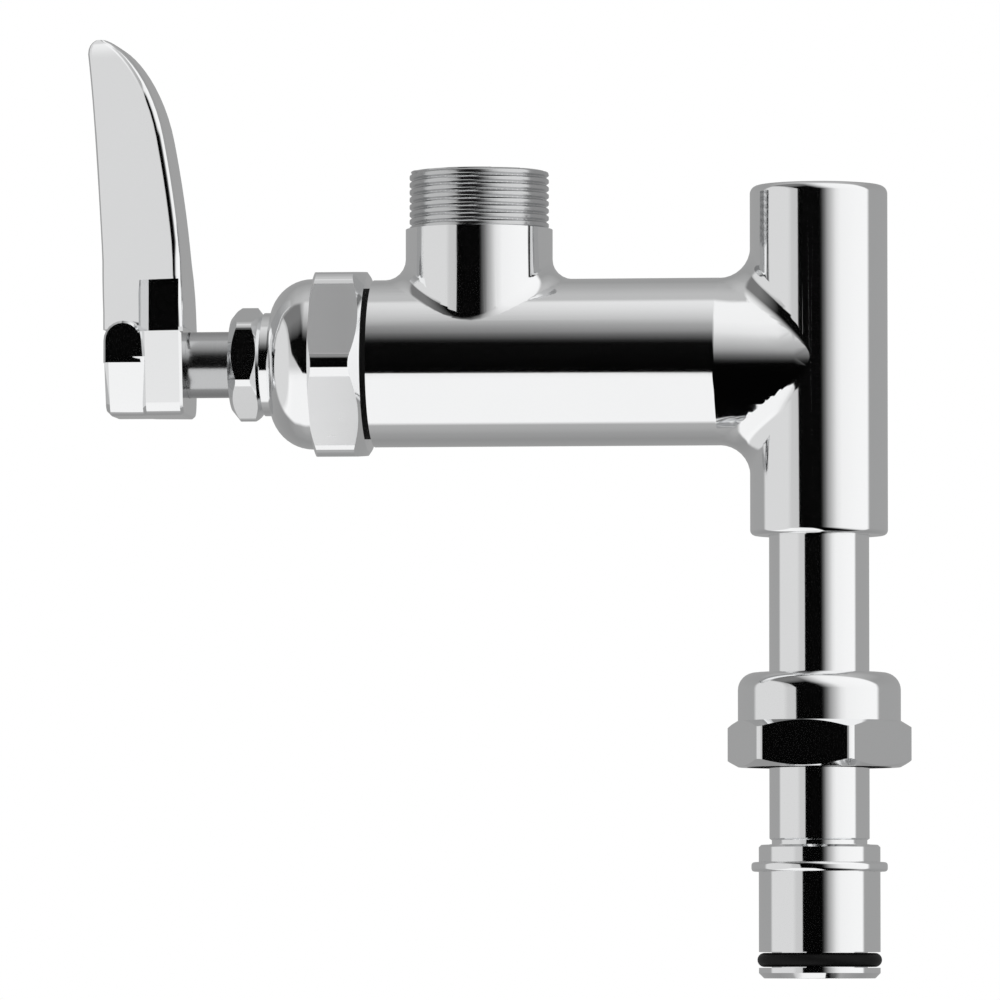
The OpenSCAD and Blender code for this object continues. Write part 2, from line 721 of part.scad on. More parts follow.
// A pocket in the lever's root above the block, on one side. Its left wall slants out to a wider mouth
pocket_floor_y = 3.5;
pocket_slant = 5.1;
pocket_len = 9.1;
module hub_pocket(side) {
    mouth_y = block_half_w + block_flare + 0.3;
    hull() for (s = [[pocket_floor_y, block_left - 0.2, hub_right - 1.35],
                     [mouth_y, block_left - 0.2 - pocket_slant, hub_right - 0.5]])
        translate([0, side * s[0], valve_z + block_top]) rotate([90, 0, 0]) linear_extrude(0.02)
            polygon([[s[1], 0], [s[2], 0], [s[2], pocket_len], [s[1], pocket_len]]);
}

module handle_screw() {
    head_left = button_seat - screw_head_len;
    color(brass) difference() {
        union() {
            rod(head_left, button_seat, screw_head_r);
            rod(button_seat - eps, hub_right - 1, screw_r);
        }
        translate([head_left - 1, -screw_slot_w / 2, valve_z - screw_head_r - 1])
            cube([1 + screw_slot_depth, screw_slot_w, 2 * screw_head_r + 2]);
    }
}

// The cap over the handle's screw, hollow over the screw's head
module index_button() {
    edge = 0.6;
    color(chrome) about_valve() difference() {
        rotate_extrude() polygon(concat([[0, button_seat], [button_r, button_seat]],
            arc(button_r - edge, hub_left + edge / 2, edge, 0, -90, 4), [[0, hub_left - edge / 2]]));
        translate([0, 0, button_seat - screw_head_len - 0.1])
            cylinder(h = screw_head_len + 1, r = screw_head_r + 0.2);
    }
}

module nipple() {
    color(chrome) difference() {
        translate([0, 0, sleeve_floor]) cylinder(h = nipple_top - sleeve_floor, r = nipple_r);
        translate([0, 0, sleeve_floor - eps]) cylinder(h = nipple_top - sleeve_floor + 1, r = nipple_bore_r);
        translate([0, 0, sleeve_top + 0.1]) rotate_extrude()
            polygon([[nipple_r - nipple_nick, 0], [nipple_r + 1, 0], [nipple_r + 1, nipple_nick_len],
                     [nipple_r, nipple_nick_len], [nipple_r - nipple_nick, 0.7 * nipple_nick_len]]);
    }
}

module inlet_sleeve() {
    color(chrome) difference() {
        translate([0, 0, -spigot_len]) rotate_extrude()
            polygon([[0, 0], [sleeve_r - spigot_chamfer, 0], [sleeve_r, spigot_chamfer],
                     [sleeve_r, spigot_len + sleeve_top - sleeve_chamfer],
                     [sleeve_r - sleeve_chamfer, spigot_len + sleeve_top], [0, spigot_len + sleeve_top]]);
        translate([0, 0, sleeve_floor])
            cylinder(h = sleeve_top - sleeve_floor + eps, r = nipple_r + joint_gap);
        translate([0, 0, -spigot_len - eps]) cylinder(h = spigot_len + 2, r = nipple_bore_r);
        translate([0, 0, o_ring_z - o_ring_d / 2 - o_ring_side]) difference() {
            cylinder(h = o_ring_d + 2 * o_ring_side, r = sleeve_r + 1);
            translate([0, 0, -1]) cylinder(h = o_ring_d + 3, r = groove_r - joint_gap);
        }
        difference() {
            cylinder(h = ring_len, r = sleeve_r + 1);
            translate([0, 0, -1]) cylinder(h = ring_len + 2, r = ring_groove_r);
        }
    }
}

module retaining_ring() {
    color(chrome) difference() {
        rotate_extrude() polygon(concat([[ring_groove_r + joint_gap, run_gap]],
            arc(ring_r - ring_round, run_gap + ring_round, ring_round, -90, 0, 4),
            arc(ring_r - ring_round, ring_len - run_gap - ring_round, ring_round, 0, 90, 4),
            [[ring_groove_r + joint_gap, ring_len - run_gap]]));
        translate([-ring_split / 2, 0, -1]) cube([ring_split, ring_r + 1, ring_len + 2]);
    }
}

module spigot_o_ring() {
    color(black_rubber) translate([0, 0, o_ring_z]) rotate_extrude()
        translate([sleeve_r + o_ring_proud - o_ring_d / 2, 0]) circle(d = o_ring_d, $fn = 32);
}

module swivel_nut() {
    nut_len = nut_hex_len + nut_collar_len;
    collar_r = nut_af / 2 - nut_collar_step;
    color(chrome) translate([0, 0, nut_rest_z]) difference() {
        union() {
            intersection() {
                rotate([0, 0, nut_turn]) rounded_hex(nut_af, nut_corner_round, nut_hex_len);
                rotate_extrude() hex_trim(nut_af / 2, 0, nut_hex_len, -0.2, 0.55, -0.1, 0.6);
            }
            rotate_extrude() polygon(concat([[0, nut_hex_len - 1], [collar_r, nut_hex_len - 1]],
                arc(collar_r - nut_collar_round, nut_len - nut_collar_round, nut_collar_round, 0, 90),
                [[0, nut_len]]));
        }
        translate([0, 0, -eps]) cylinder(h = nut_len - nut_wall + eps, r = nut_thread_r);
        translate([0, 0, -eps]) cylinder(h = nut_len + 1, r = nipple_r + loose_gap);
    }
}

body();
seat_insert();
bonnet();
bonnet_gasket();
packing_nut();
packing_gland();
stem_packing();
nipple();
inlet_sleeve();
retaining_ring();
spigot_o_ring();
swivel_nut();
lever_handle();
handle_screw();
index_button();
spindle();
spindle_o_ring();
plunger();
seat_washer();
washer_screw();
thrust_washer();
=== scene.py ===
"""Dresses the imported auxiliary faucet: chrome, brass and rubber finishes, the outlet's thread, and the studio."""

import json
import math

import bmesh
import bpy
from bpy.props import FloatProperty, FloatVectorProperty, IntProperty, PointerProperty
from bpy.types import Operator, Panel, PropertyGroup
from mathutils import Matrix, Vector


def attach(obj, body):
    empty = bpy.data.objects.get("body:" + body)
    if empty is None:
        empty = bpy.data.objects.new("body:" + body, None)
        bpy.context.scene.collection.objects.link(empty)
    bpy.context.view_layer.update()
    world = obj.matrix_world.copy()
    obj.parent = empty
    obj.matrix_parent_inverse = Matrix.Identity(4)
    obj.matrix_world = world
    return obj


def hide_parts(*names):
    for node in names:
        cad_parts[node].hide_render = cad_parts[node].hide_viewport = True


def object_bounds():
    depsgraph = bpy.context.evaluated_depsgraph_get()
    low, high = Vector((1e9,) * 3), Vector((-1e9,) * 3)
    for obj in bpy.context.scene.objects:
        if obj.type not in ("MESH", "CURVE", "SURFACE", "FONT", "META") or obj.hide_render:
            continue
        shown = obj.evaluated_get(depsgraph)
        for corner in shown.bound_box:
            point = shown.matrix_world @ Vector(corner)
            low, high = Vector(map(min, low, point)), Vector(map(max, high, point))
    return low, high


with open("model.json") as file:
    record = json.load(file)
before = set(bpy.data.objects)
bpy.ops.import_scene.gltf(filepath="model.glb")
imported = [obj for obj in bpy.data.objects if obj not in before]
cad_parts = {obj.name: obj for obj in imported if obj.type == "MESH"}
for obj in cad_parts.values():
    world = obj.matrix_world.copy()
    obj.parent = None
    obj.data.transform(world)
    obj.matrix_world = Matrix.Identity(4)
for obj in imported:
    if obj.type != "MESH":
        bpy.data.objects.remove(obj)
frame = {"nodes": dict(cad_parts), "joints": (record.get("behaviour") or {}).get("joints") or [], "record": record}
cad_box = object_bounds()

bl_info = {
    "name": "Auxiliary Faucet",
    "version": (1, 0, 0),
    "blender": (4, 5, 0),
    "location": "View3D > Sidebar > Faucet",
    "description": "Finishes the pieces of an add-on faucet and lights them in a plain studio",
    "category": "Object",
}

MM = 0.001

# Measures closer than this are taken as the same
TOUCH = 0.01 * MM
# A normal's share along an axis that counts as none
SQUARE = 0.01
# Points closer than this are welded into one
WELD = 0.0005 * MM
# Edges shorter than this are closed up
SHORTEST = 0.001 * MM
# Faces that turn less than this from one to the next count as one flat region
FLAT_COSINE = math.cos(math.radians(0.2))

# Marks per metre of the faint haze on metal, the shade in its hollows, and its noise's detail
HAZE_SCALE = 90.0
HAZE_SHADE = 0.985
HAZE_DETAIL = 3.0
# The fine grain of all finishes: its noise's detail and roughness, and its share in a metal's roughness
GRAIN_DETAIL = 4.0
GRAIN_ROUGHNESS = 0.6
GRAIN_SHARE = 0.6
# How deep the grain of metal and of soft pieces is at full strength
METAL_GRAIN_DEPTH = 0.05 * MM
SOFT_GRAIN_DEPTH = 0.1 * MM
# How far the colour and the roughness of soft pieces change with their grain
SOFT_SHADES = (0.8, 1.2)
SOFT_SPREAD = 0.12
# The bonnet's brush marks run along the valve axis
BRUSH_TURN = 0.25

# The camera's sensor width, in millimetres as Blender counts it
SENSOR_WIDTH = 36
FLOOR_SIZE = 8
FLOOR_COLOUR = (0.9, 0.9, 0.9, 1)
FLOOR_GLOW = 0.45
LAMP_SIZE = 0.9
LAMP_PLACE = Vector((-0.2, -0.3, 1.1))
LAMP_AIM = Vector((-0.05, 0, 0.06))

# The level of the plain light on everything that isn't glossy
PLAIN_LIGHT = 0.85
# The dark band that the chrome reflects leans from upper left to lower right
BAND_SIDE = 0.84
BAND_RISE = 0.54
# Its sharp left edge: heights, and how far to the side the edge is at each
BAND_EDGE = ((-1, 0.1), (-0.8, 0.03), (-0.5, -0.08), (-0.257, -0.195),
             (0, -0.545), (0.3, -0.66), (0.5, -0.72), (1, -0.85))
EDGE_SOFTNESS = 0.006
# Levels of 0 to 255 across the band, from its dark side to the light right of it
BAND_LEVELS = ((-0.31, 10), (0.07, 10), (0.105, 45), (0.18, 108), (0.245, 156), (0.33, 190), (0.4, 215),
               (0.45, 232), (0.55, 247), (0.8, 252), (1, 255))
# Levels along the band, which fades towards its upper end
BAND_END_LEVELS = ((0.72, 0), (0.95, 120))
# Levels left of the band, from low to high
LEFT_LEVELS = ((-0.39, 250), (-0.25, 244), (-0.14, 222), (-0.05, 204), (0.1, 198), (0.3, 184), (0.6, 150),
               (1, 120))
# Levels behind the object, from low to high
BEHIND_LEVELS = ((-0.98, 172), (-0.9, 157), (-0.74, 147), (0, 160), (0.6, 155), (0.84, 173), (0.956, 190))
# The left side glows a little more towards its end: two places, and the gain at each
LEFT_GLOW = (-1.0, -0.55, 1.1, 1.0)
# The even light that comes from the far left: its level, and where it fades out
FAR_LEFT_LEVEL = 0.72
FAR_LEFT_FADE = (-0.81, -0.73)
# The limit between front and back turns a little to the left and bows, and is this soft
FRONT_TURN = 0.14
FRONT_BOW = 0.09
FRONT_FADE = (-0.19, -0.09)

# The mounts say where the outlet and its thread are
MOUNTS = {m["name"]: m for m in frame["record"]["mounts"]}
OUTLET = MOUNTS["spout_outlet"]
OUTLET_X = OUTLET["pos_m"][0]
THREAD_R = OUTLET["dims"]["r_mm"] * MM
THREAD_LEN = OUTLET["dims"]["length_mm"] * MM
THREAD_LOW = OUTLET["pos_m"][2] - THREAD_LEN / 2
THREAD_TOP = MOUNTS["spout_socket"]["pos_m"][2]

# The valve axis runs along X at this height
VALVE_Z = next(j["pos_m"][2] for j in frame["joints"] if j["name"] == "handle_turn")


class FaucetSizes(PropertyGroup):
    """Sizes that the looks add to the solids."""

    thread_pitch: FloatProperty(name="Thread Pitch", description="Rise of the outlet thread in one turn",
                                default=1.27 * MM, min=0.8 * MM, max=2 * MM, unit="LENGTH")
    thread_depth: FloatProperty(name="Thread Depth", description="Height of the outlet thread's ridges",
                                default=0.42 * MM, min=0.3 * MM, max=1 * MM, unit="LENGTH")
    thread_chamfer: FloatProperty(name="Thread Chamfer", description="Width of the chamfer at the thread's top",
                                  default=0.3 * MM, min=0.2 * MM, max=1 * MM, unit="LENGTH")
    thread_steps: IntProperty(name="Thread Steps", description="Faces round the outlet thread",
                              default=144, min=48, max=256)
    ground_flats: FloatProperty(name="Ground Flats", description="Bonnet hexagon across its ground flats",
                                default=31.7 * MM, min=30 * MM, max=36 * MM, unit="LENGTH")
    smooth_angle: FloatProperty(name="Smooth Angle", description="Edges flatter than this are shaded smooth",
                                default=math.radians(24), min=0.1, max=1.2, subtype="ANGLE")


class FaucetFinishes(PropertyGroup):
    """Colours and roughness of the finishes."""

    chrome_colour: FloatVectorProperty(name="Chrome", description="Colour of the chrome plate",
                                       default=(0.935, 0.94, 0.945), size=3, min=0, max=1, subtype="COLOR")
    satin_colour: FloatVectorProperty(name="Satin", description="Colour of the bonnet's ground flats",
                                      default=(0.88, 0.885, 0.89), size=3, min=0, max=1, subtype="COLOR")
    turned_colour: FloatVectorProperty(name="Turned", description="Colour of the spindle's turned shank",
                                       default=(0.55, 0.555, 0.56), size=3, min=0, max=1, subtype="COLOR")
    thread_colour: FloatVectorProperty(name="Thread", description="Colour of the plated thread",
                                       default=(0.66, 0.665, 0.67), size=3, min=0, max=1, subtype="COLOR")
    brass_colour: FloatVectorProperty(name="Brass", description="Colour of the bare brass pieces",
                                      default=(0.78, 0.60, 0.30), size=3, min=0, max=1, subtype="COLOR")
    rubber_colour: FloatVectorProperty(name="Rubber", description="Colour of the seals",
                                       default=(0.004, 0.004, 0.004), size=3, min=0, max=1, subtype="COLOR")
    fibre_colour: FloatVectorProperty(name="Fibre", description="Colour of the bonnet gasket",
                                      default=(0.008, 0.008, 0.008), size=3, min=0, max=1, subtype="COLOR")
    acetal_colour: FloatVectorProperty(name="Acetal", description="Colour of the thrust washer",
                                       default=(0.85, 0.84, 0.80), size=3, min=0, max=1, subtype="COLOR")
    chrome_roughness: FloatProperty(name="Chrome Roughness", description="Roughness of the polished plate",
                                    default=0.045, min=0, max=0.5)


class FaucetStudio(PropertyGroup):
    """Camera, backdrop and lamp."""

    azimuth: FloatProperty(name="Azimuth", description="Camera's turn towards +X",
                           default=math.radians(6.2), subtype="ANGLE")
    elevation: FloatProperty(name="Elevation", description="Camera's height above the level view",
                             default=math.radians(-2.9), subtype="ANGLE")
    distance: FloatProperty(name="Distance", description="From the camera to the point it looks at",
                            default=1.7, min=0.5, unit="LENGTH")
    picture_width: FloatProperty(name="Picture Width", description="Width of the view at the object",
                                 default=0.172, min=0.05, unit="LENGTH")
    target: FloatVectorProperty(name="Target", description="Point at the picture's centre",
                                default=(-0.0550, 0, 0.0640), size=3, subtype="TRANSLATION")
    floor_drop: FloatProperty(name="Floor Drop", description="From the spigot's end down to the floor",
                              default=0.12, min=0.02, unit="LENGTH")
    lamp_watts: FloatProperty(name="Lamp", description="Power of the soft lamp overhead",
                              default=6, min=0, unit="POWER")


class Wire:
    """A shader socket that takes part in sums, so that node maths reads as an expression."""

    def __init__(self, recipe, socket):
        self.recipe = recipe
        self.socket = socket

    def sum(self, operation, *values):
        return self.recipe.node("ShaderNodeMath", {"operation": operation}, *values)

    def __add__(self, other):
        return self.sum("ADD", self, other)

    def __sub__(self, other):
        return self.sum("SUBTRACT", self, other)

    def __rsub__(self, other):
        return self.sum("SUBTRACT", other, self)

    def __mul__(self, other):
        return self.sum("MULTIPLY", self, other)

    def __truediv__(self, other):
        return self.sum("DIVIDE", self, other)

    __radd__ = __add__
    __rmul__ = __mul__

    def above(self, other):
        return self.sum("MAXIMUM", self, other)


class Recipe:
    """A node tree, with one method that makes every node."""

    def __init__(self, tree):
        self.tree = tree
        tree.nodes.clear()

    def node(self, kind, settings=None, *values, out=0, **named):
        made = self.tree.nodes.new(kind)
        for key, value in (settings or {}).items():
            if key == "stops":
                self.set_stops(made.color_ramp, value)
            else:
                setattr(made, key, value)
        for key, value in [*enumerate(values), *named.items()]:
            socket = made.inputs[key if isinstance(key, int) else key.replace("_", " ")]
            if isinstance(value, Wire):
                self.tree.links.new(value.socket, socket)
            elif value is not None:
                socket.default_value = value
        return Wire(self, made.outputs[out]) if made.outputs else made

    @staticmethod
    def set_stops(ramp, stops):
        while len(ramp.elements) > 1:
            ramp.elements.remove(ramp.elements[-1])
        for i, (place, level) in enumerate(stops):
            stop = ramp.elements[0] if i == 0 else ramp.elements.new(place)
            stop.position = place
            stop.color = (level, level, level, 1)

    def dot(self, direction, axis):
        return self.node("ShaderNodeVectorMath", {"operation": "DOT_PRODUCT"}, direction, tuple(axis), out="Value")

    def noise(self, place, scale, detail=2.0, roughness=0.5):
        return self.node("ShaderNodeTexNoise", {"noise_dimensions": "3D"}, Vector=place, Scale=scale,
                         Detail=detail, Roughness=roughness)

    def ramp(self, value, stops):
        """A ramp over -1 to 1."""
        return self.node("ShaderNodeValToRGB", {"stops": [((at + 1) / 2, level) for at, level in stops]},
                         value / 2 + 0.5)

    def screen_ramp(self, value, stops):
        """A ramp over -1 to 1, with levels of 0 to 255 as a screen shows them."""
        return self.ramp(value, [(at, (level / 255) ** 2.2) for at, level in stops])

    def slope(self, value, start, end, first=0.0, last=1.0):
        """Goes from first to last as value goes from start to end, and stays level beyond."""
        return self.node("ShaderNodeMapRange", None, value, start, end, first, last)


def new_material(name):
    material = bpy.data.materials.new(name)
    material.use_nodes = True
    return material, Recipe(material.node_tree)


def object_place(recipe):
    return recipe.node("ShaderNodeTexCoord", None, out="Object")


def blend_colour(recipe, share, low, high):
    """A colour between two others, as share goes from 0 to 1."""
    between = [None] * 5
    return recipe.node("ShaderNodeMix", {"data_type": "RGBA"}, share, *between, (*low, 1), (*high, 1), out=2)


def finish_metal(name, colour, roughness, spread, grain_scale, bump, stretch=(1, 1, 1), brushed=0.0):
    """Polished, turned or brushed metal: a faint haze in the roughness and fine marks in the surface."""
    material, recipe = new_material(name)
    place = object_place(recipe)
    grain_place = recipe.node("ShaderNodeMapping", None, Vector=place, Scale=stretch)
    haze = recipe.noise(place, HAZE_SCALE, HAZE_DETAIL)
    grain = recipe.noise(grain_place, grain_scale, GRAIN_DETAIL, GRAIN_ROUGHNESS)
    shade = blend_colour(recipe, haze, [c * HAZE_SHADE for c in colour], colour)
    rough = roughness + haze * spread + grain * (spread * GRAIN_SHARE)
    surface = recipe.node("ShaderNodeBump", None, Strength=bump, Distance=METAL_GRAIN_DEPTH, Height=grain)
    shader = recipe.node("ShaderNodeBsdfPrincipled", None, Base_Color=shade, Metallic=1.0, Roughness=rough,
                         Anisotropic=brushed, Anisotropic_Rotation=BRUSH_TURN, Normal=surface)
    recipe.node("ShaderNodeOutputMaterial", None, shader)
    return material


def finish_soft(name, colour, roughness, grain_scale, bump, shine=0.5):
    """Rubber, fibre or acetal: matt, with a fine moulded grain."""
    material, recipe = new_material(name)
    place = object_place(recipe)
    grain = recipe.noise(place, grain_scale, GRAIN_DETAIL, GRAIN_ROUGHNESS)
    darkest, lightest = ([min(1, c * shade) for c in colour] for shade in SOFT_SHADES)
    shade = blend_colour(recipe, grain, darkest, lightest)
    rough = roughness + grain * SOFT_SPREAD
    surface = recipe.node("ShaderNodeBump", None, Strength=bump, Distance=SOFT_GRAIN_DEPTH, Height=grain)
    shader = recipe.node("ShaderNodeBsdfPrincipled", None, Base_Color=shade, Roughness=rough, Normal=surface,
                         Specular_IOR_Level=shine)
    recipe.node("ShaderNodeOutputMaterial", None, shader)
    return material


def finish(key):
    """The named finish, made once."""
    found = bpy.data.materials.get(key)
    if found:
        return found
    tones = bpy.context.scene.faucet_finishes
    if key == "polished_chrome":
        return finish_metal(key, tones.chrome_colour, roughness=tones.chrome_roughness, spread=0.02,
                            grain_scale=900.0, bump=0.02)
    if key == "turned_chrome":
        return finish_metal(key, tones.turned_colour, roughness=0.1, spread=0.08, grain_scale=2600.0, bump=0.08,
                            stretch=(1, 0.05, 0.05))
    if key == "satin_chrome":
        return finish_metal(key, tones.satin_colour, roughness=0.25, spread=0.04, grain_scale=1800.0, bump=0.05,
                            stretch=(0.05, 1, 1), brushed=1.0)
    if key == "thread_chrome":
        return finish_metal(key, tones.thread_colour, roughness=0.1, spread=0.1, grain_scale=1800.0, bump=0.12)
    if key == "turned_brass":
        return finish_metal(key, tones.brass_colour, roughness=0.22, spread=0.1, grain_scale=1500.0, bump=0.1)
    if key == "seal_rubber":
        return finish_soft(key, tones.rubber_colour, roughness=0.42, grain_scale=1400.0, bump=0.15, shine=0.12)
    if key == "pressed_fibre":
        return finish_soft(key, tones.fibre_colour, roughness=0.6, grain_scale=1100.0, bump=0.3, shine=0.15)
    if key == "white_acetal":
        return finish_soft(key, tones.acetal_colour, roughness=0.35, grain_scale=900.0, bump=0.08)
    raise ValueError(f"no finish is named {key}")


def flat_areas(mesh):
    """The area of the flat region that each triangle belongs to."""
    areas = {}
    for seed in mesh.faces:
        if seed in areas:
            continue
        region, wave = {seed}, [seed]
        while wave:
            face = wave.pop()
            for edge in face.edges:
                for other in edge.link_faces:
                    if other not in region and other.normal.dot(face.normal) > FLAT_COSINE:
                        region.add(other)
                        wave.append(other)
        total = sum(face.calc_area() for face in region)
        areas.update((face, total) for face in region)
    return areas


def fans(vert):
    """The groups of a point's face corners that no sharp edge divides."""
    left = {loop.face: loop for loop in vert.link_loops}
    while left:
        fan = [left.popitem()[1]]
        for loop in fan:
            for edge in (loop.edge, loop.link_loop_prev.edge):
                if edge.smooth:
                    fan += [left.pop(face) for face in edge.link_faces if face in left]
        yield fan


def smooth(obj, angle):
    """Smooth shading that keeps flat faces flat and true arrises crisp: the largest flat region leads."""
    mesh = bmesh.new()
    mesh.from_mesh(obj.data)
    for face in mesh.faces:
        face.smooth = True
    for edge in mesh.edges:
        edge.smooth = edge.calc_face_angle(math.pi) < angle
    areas = flat_areas(mesh)
    normals = {}
    for vert in mesh.verts:
        for fan in fans(vert):
            pull = Vector()
            for loop in fan:
                pull += loop.face.normal * (areas[loop.face] ** 2 * loop.calc_angle())
            normals.update((loop, pull.normalized()) for loop in fan)
    corners = [normals[loop] for face in mesh.faces for loop in face.loops]
    mesh.to_mesh(obj.data)
    mesh.free()
    obj.data.normals_split_custom_set(corners)


def polished_copy(node, name, change=None, shortest=SHORTEST):
    """A welded copy of a solid, smooth-shaded, that stands for the solid. Edges under shortest are closed up."""
    source = frame["nodes"][node]
    piece = bpy.data.objects.new(name, source.data.copy())
    bpy.context.scene.collection.objects.link(piece)
    piece.data.materials.clear()
    mesh = bmesh.new()
    mesh.from_mesh(piece.data)
    bmesh.ops.remove_doubles(mesh, verts=mesh.verts, dist=WELD)
    bmesh.ops.dissolve_degenerate(mesh, edges=mesh.edges, dist=shortest)
    if change:
        change(mesh)
    mesh.to_mesh(piece.data)
    mesh.free()
    piece.data.update()
    smooth(piece, bpy.context.scene.faucet_sizes.smooth_angle)
    return piece


def settle(piece, key, body, slot, *nodes):
    """Gives a piece its finish, its body and the solids that it stands for."""
    if not piece.data.materials:
        piece.data.materials.append(finish(key))
    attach(piece, body)
    if nodes:
        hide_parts(*nodes)


class FAUCET_OT_body(Operator):
    """Polishes the cast body and turns its outlet down to the thread's root"""

    bl_idname = "faucet.body"
    bl_label = "Cast Body"

    def execute(self, context):
        sizes = context.scene.faucet_sizes
        root_r = THREAD_R - sizes.thread_depth
        inside_r = root_r * 0.95
        rim_low = THREAD_TOP - 0.1 * MM
        rim_r = root_r - 0.2 * MM

        def turn_down(mesh):
            for vert in mesh.verts:
                x, y = vert.co.x - OUTLET_X, vert.co.y
                r = math.hypot(x, y)
                if vert.co.z > THREAD_LOW - TOUCH and inside_r < r < THREAD_R + TOUCH:
                    new_r = min(r, root_r) if vert.co.z < rim_low else rim_r
                    vert.co.x = OUTLET_X + x * new_r / r
                    vert.co.y = y * new_r / r

        piece = polished_copy("body", "cast_body", turn_down, shortest=0.05 * MM)
        settle(piece, "polished_chrome", "faucet", "chrome", "body")
        return {"FINISHED"}


class FAUCET_OT_outlet_thread(Operator):
    """Winds the outlet's thread from one tooth and chamfers its top"""

    bl_idname = "faucet.outlet_thread"
    bl_label = "Outlet Thread"

    def execute(self, context):
        sizes = context.scene.faucet_sizes
        pitch, depth = sizes.thread_pitch, sizes.thread_depth
        root_r = THREAD_R - depth
        end_r = root_r - 0.3 * MM
        flank_r = THREAD_R - depth * 0.1
        # One more turn at each end, as both ends are trimmed below
        turns = math.ceil((THREAD_TOP - THREAD_LOW) / pitch) + 2
        # The tooth's outline: radius, and height as a share of the pitch
        tooth = [(root_r, 0), (root_r, 0.08), (flank_r, 0.3), (THREAD_R, 0.38), (THREAD_R, 0.7), (flank_r, 0.78),
                 (root_r, 1)]
        bpy.ops.object.select_all(action="DESELECT")
        bpy.ops.mesh.primitive_plane_add(size=1)
        piece = context.object
        piece.name = "outlet_thread"
        mesh = bmesh.new()
        verts = [mesh.verts.new((r, 0, share * pitch)) for r, share in tooth]
        for a, b in zip(verts, verts[1:]):
            mesh.edges.new((a, b))
        mesh.to_mesh(piece.data)
        mesh.free()
        wind = piece.modifiers.new("wind", "SCREW")
        wind.screw_offset = pitch
        wind.iterations = turns
        wind.steps = wind.render_steps = sizes.thread_steps
        wind.use_merge_vertices = False
        bpy.ops.object.modifier_apply(modifier=wind.name)
        bottom = THREAD_LOW - pitch
        chamfer_low = THREAD_TOP - sizes.thread_chamfer
        mesh = bmesh.new()
        mesh.from_mesh(piece.data)
        for vert in mesh.verts:
            z = min(vert.co.z + bottom, THREAD_TOP)
            r = math.hypot(vert.co.x, vert.co.y)
            limit = THREAD_R - max(0, z - chamfer_low)
            new_r = min(r, limit) if z < THREAD_TOP - SHORTEST else end_r
            vert.co = Vector((OUTLET_X + vert.co.x * new_r / r, vert.co.y * new_r / r, z))
        bmesh.ops.remove_doubles(mesh, verts=mesh.verts, dist=2 * SHORTEST)
        bmesh.ops.dissolve_degenerate(mesh, edges=mesh.edges, dist=SHORTEST)
        cut = THREAD_LOW - 0.5 * MM
        below = [face for face in mesh.faces if face.calc_center_median().z < cut]
        bmesh.ops.delete(mesh, geom=below, context="FACES")
        bmesh.ops.recalc_face_normals(mesh, faces=mesh.faces)
        mesh.to_mesh(piece.data)
        mesh.free()
        flank_angle = math.radians(30)
        smooth(piece, flank_angle)
        settle(piece, "thread_chrome", "faucet", "chrome")
        return {"FINISHED"}


class FAUCET_OT_bonnet(Operator):
    """Polishes the bonnet, its gasket and the packing nut"""

    bl_idname = "faucet.bonnet"
    bl_label = "Bonnet and Packing Nut"

    def execute(self, context):
        for node in ("bonnet", "packing_nut"):
            settle(polished_copy(node, f"polished_{node}"), "polished_chrome", "faucet", "chrome", node)
        self.grind_flats(bpy.data.objects["polished_bonnet"])
        settle(polished_copy("bonnet_gasket", "pressed_gasket"), "pressed_fibre", "faucet", "fibre", "bonnet_gasket")
        return {"FINISHED"}

    def grind_flats(self, piece):
        """Gives the hexagon's six flats a satin finish."""
        piece.data.materials.append(finish("satin_chrome"))
        half = bpy.context.scene.faucet_sizes.ground_flats / 2
        for face in piece.data.polygons:
            reach = face.normal.dot(face.center - Vector((face.center.x, 0, VALVE_Z)))
            if abs(face.normal.x) < SQUARE and abs(reach - half) < TOUCH:
                face.material_index = 1


class FAUCET_OT_inlet(Operator):
    """Finishes the nipple, the spigot sleeve, its ring and its seal"""

    bl_idname = "faucet.inlet"
    bl_label = "Inlet Spigot"

    def execute(self, context):
        for node in ("nipple", "inlet_sleeve", "retaining_ring"):
            settle(polished_copy(node, f"polished_{node}"), "polished_chrome", "faucet", "chrome", node)
        settle(polished_copy("spigot_o_ring", "spigot_seal"), "seal_rubber", "faucet", "rubber", "spigot_o_ring")
        return {"FINISHED"}


class FAUCET_OT_swivel_nut(Operator):
    """Polishes the loose hexagon nut"""

    bl_idname = "faucet.swivel_nut"
    bl_label = "Swivel Nut"

    def execute(self, context):
        settle(polished_copy("swivel_nut", "polished_nut"), "polished_chrome", "nut", "chrome", "swivel_nut")
        return {"FINISHED"}


class FAUCET_OT_handle(Operator):
    """Polishes the lever, its button and the spindle's shank"""

    bl_idname = "faucet.handle"
    bl_label = "Lever Handle"

    def execute(self, context):
        settle(polished_copy("lever_handle", "polished_lever"), "polished_chrome", "handle", "chrome", "lever_handle")
        settle(polished_copy("index_button", "plain_button"), "polished_chrome", "handle", "chrome", "index_button")
        settle(polished_copy("spindle", "turned_spindle"), "turned_chrome", "handle", "chrome", "spindle")
        return {"FINISHED"}


class FAUCET_OT_inner_works(Operator):
    """Gives the pieces inside the valve their brass, rubber and acetal"""

    bl_idname = "faucet.inner_works"
    bl_label = "Inner Works"

    def execute(self, context):
        nodes = {"turned_brass": ("seat_insert", "packing_gland", "plunger", "washer_screw", "handle_screw"),
                 "seal_rubber": ("stem_packing", "spindle_o_ring", "seat_washer"),
                 "white_acetal": ("thrust_washer",)}
        for key, names in nodes.items():
            for name in names:
                solid = frame["nodes"][name]
                solid.data.materials.clear()
                solid.data.materials.append(finish(key))
        return {"FINISHED"}


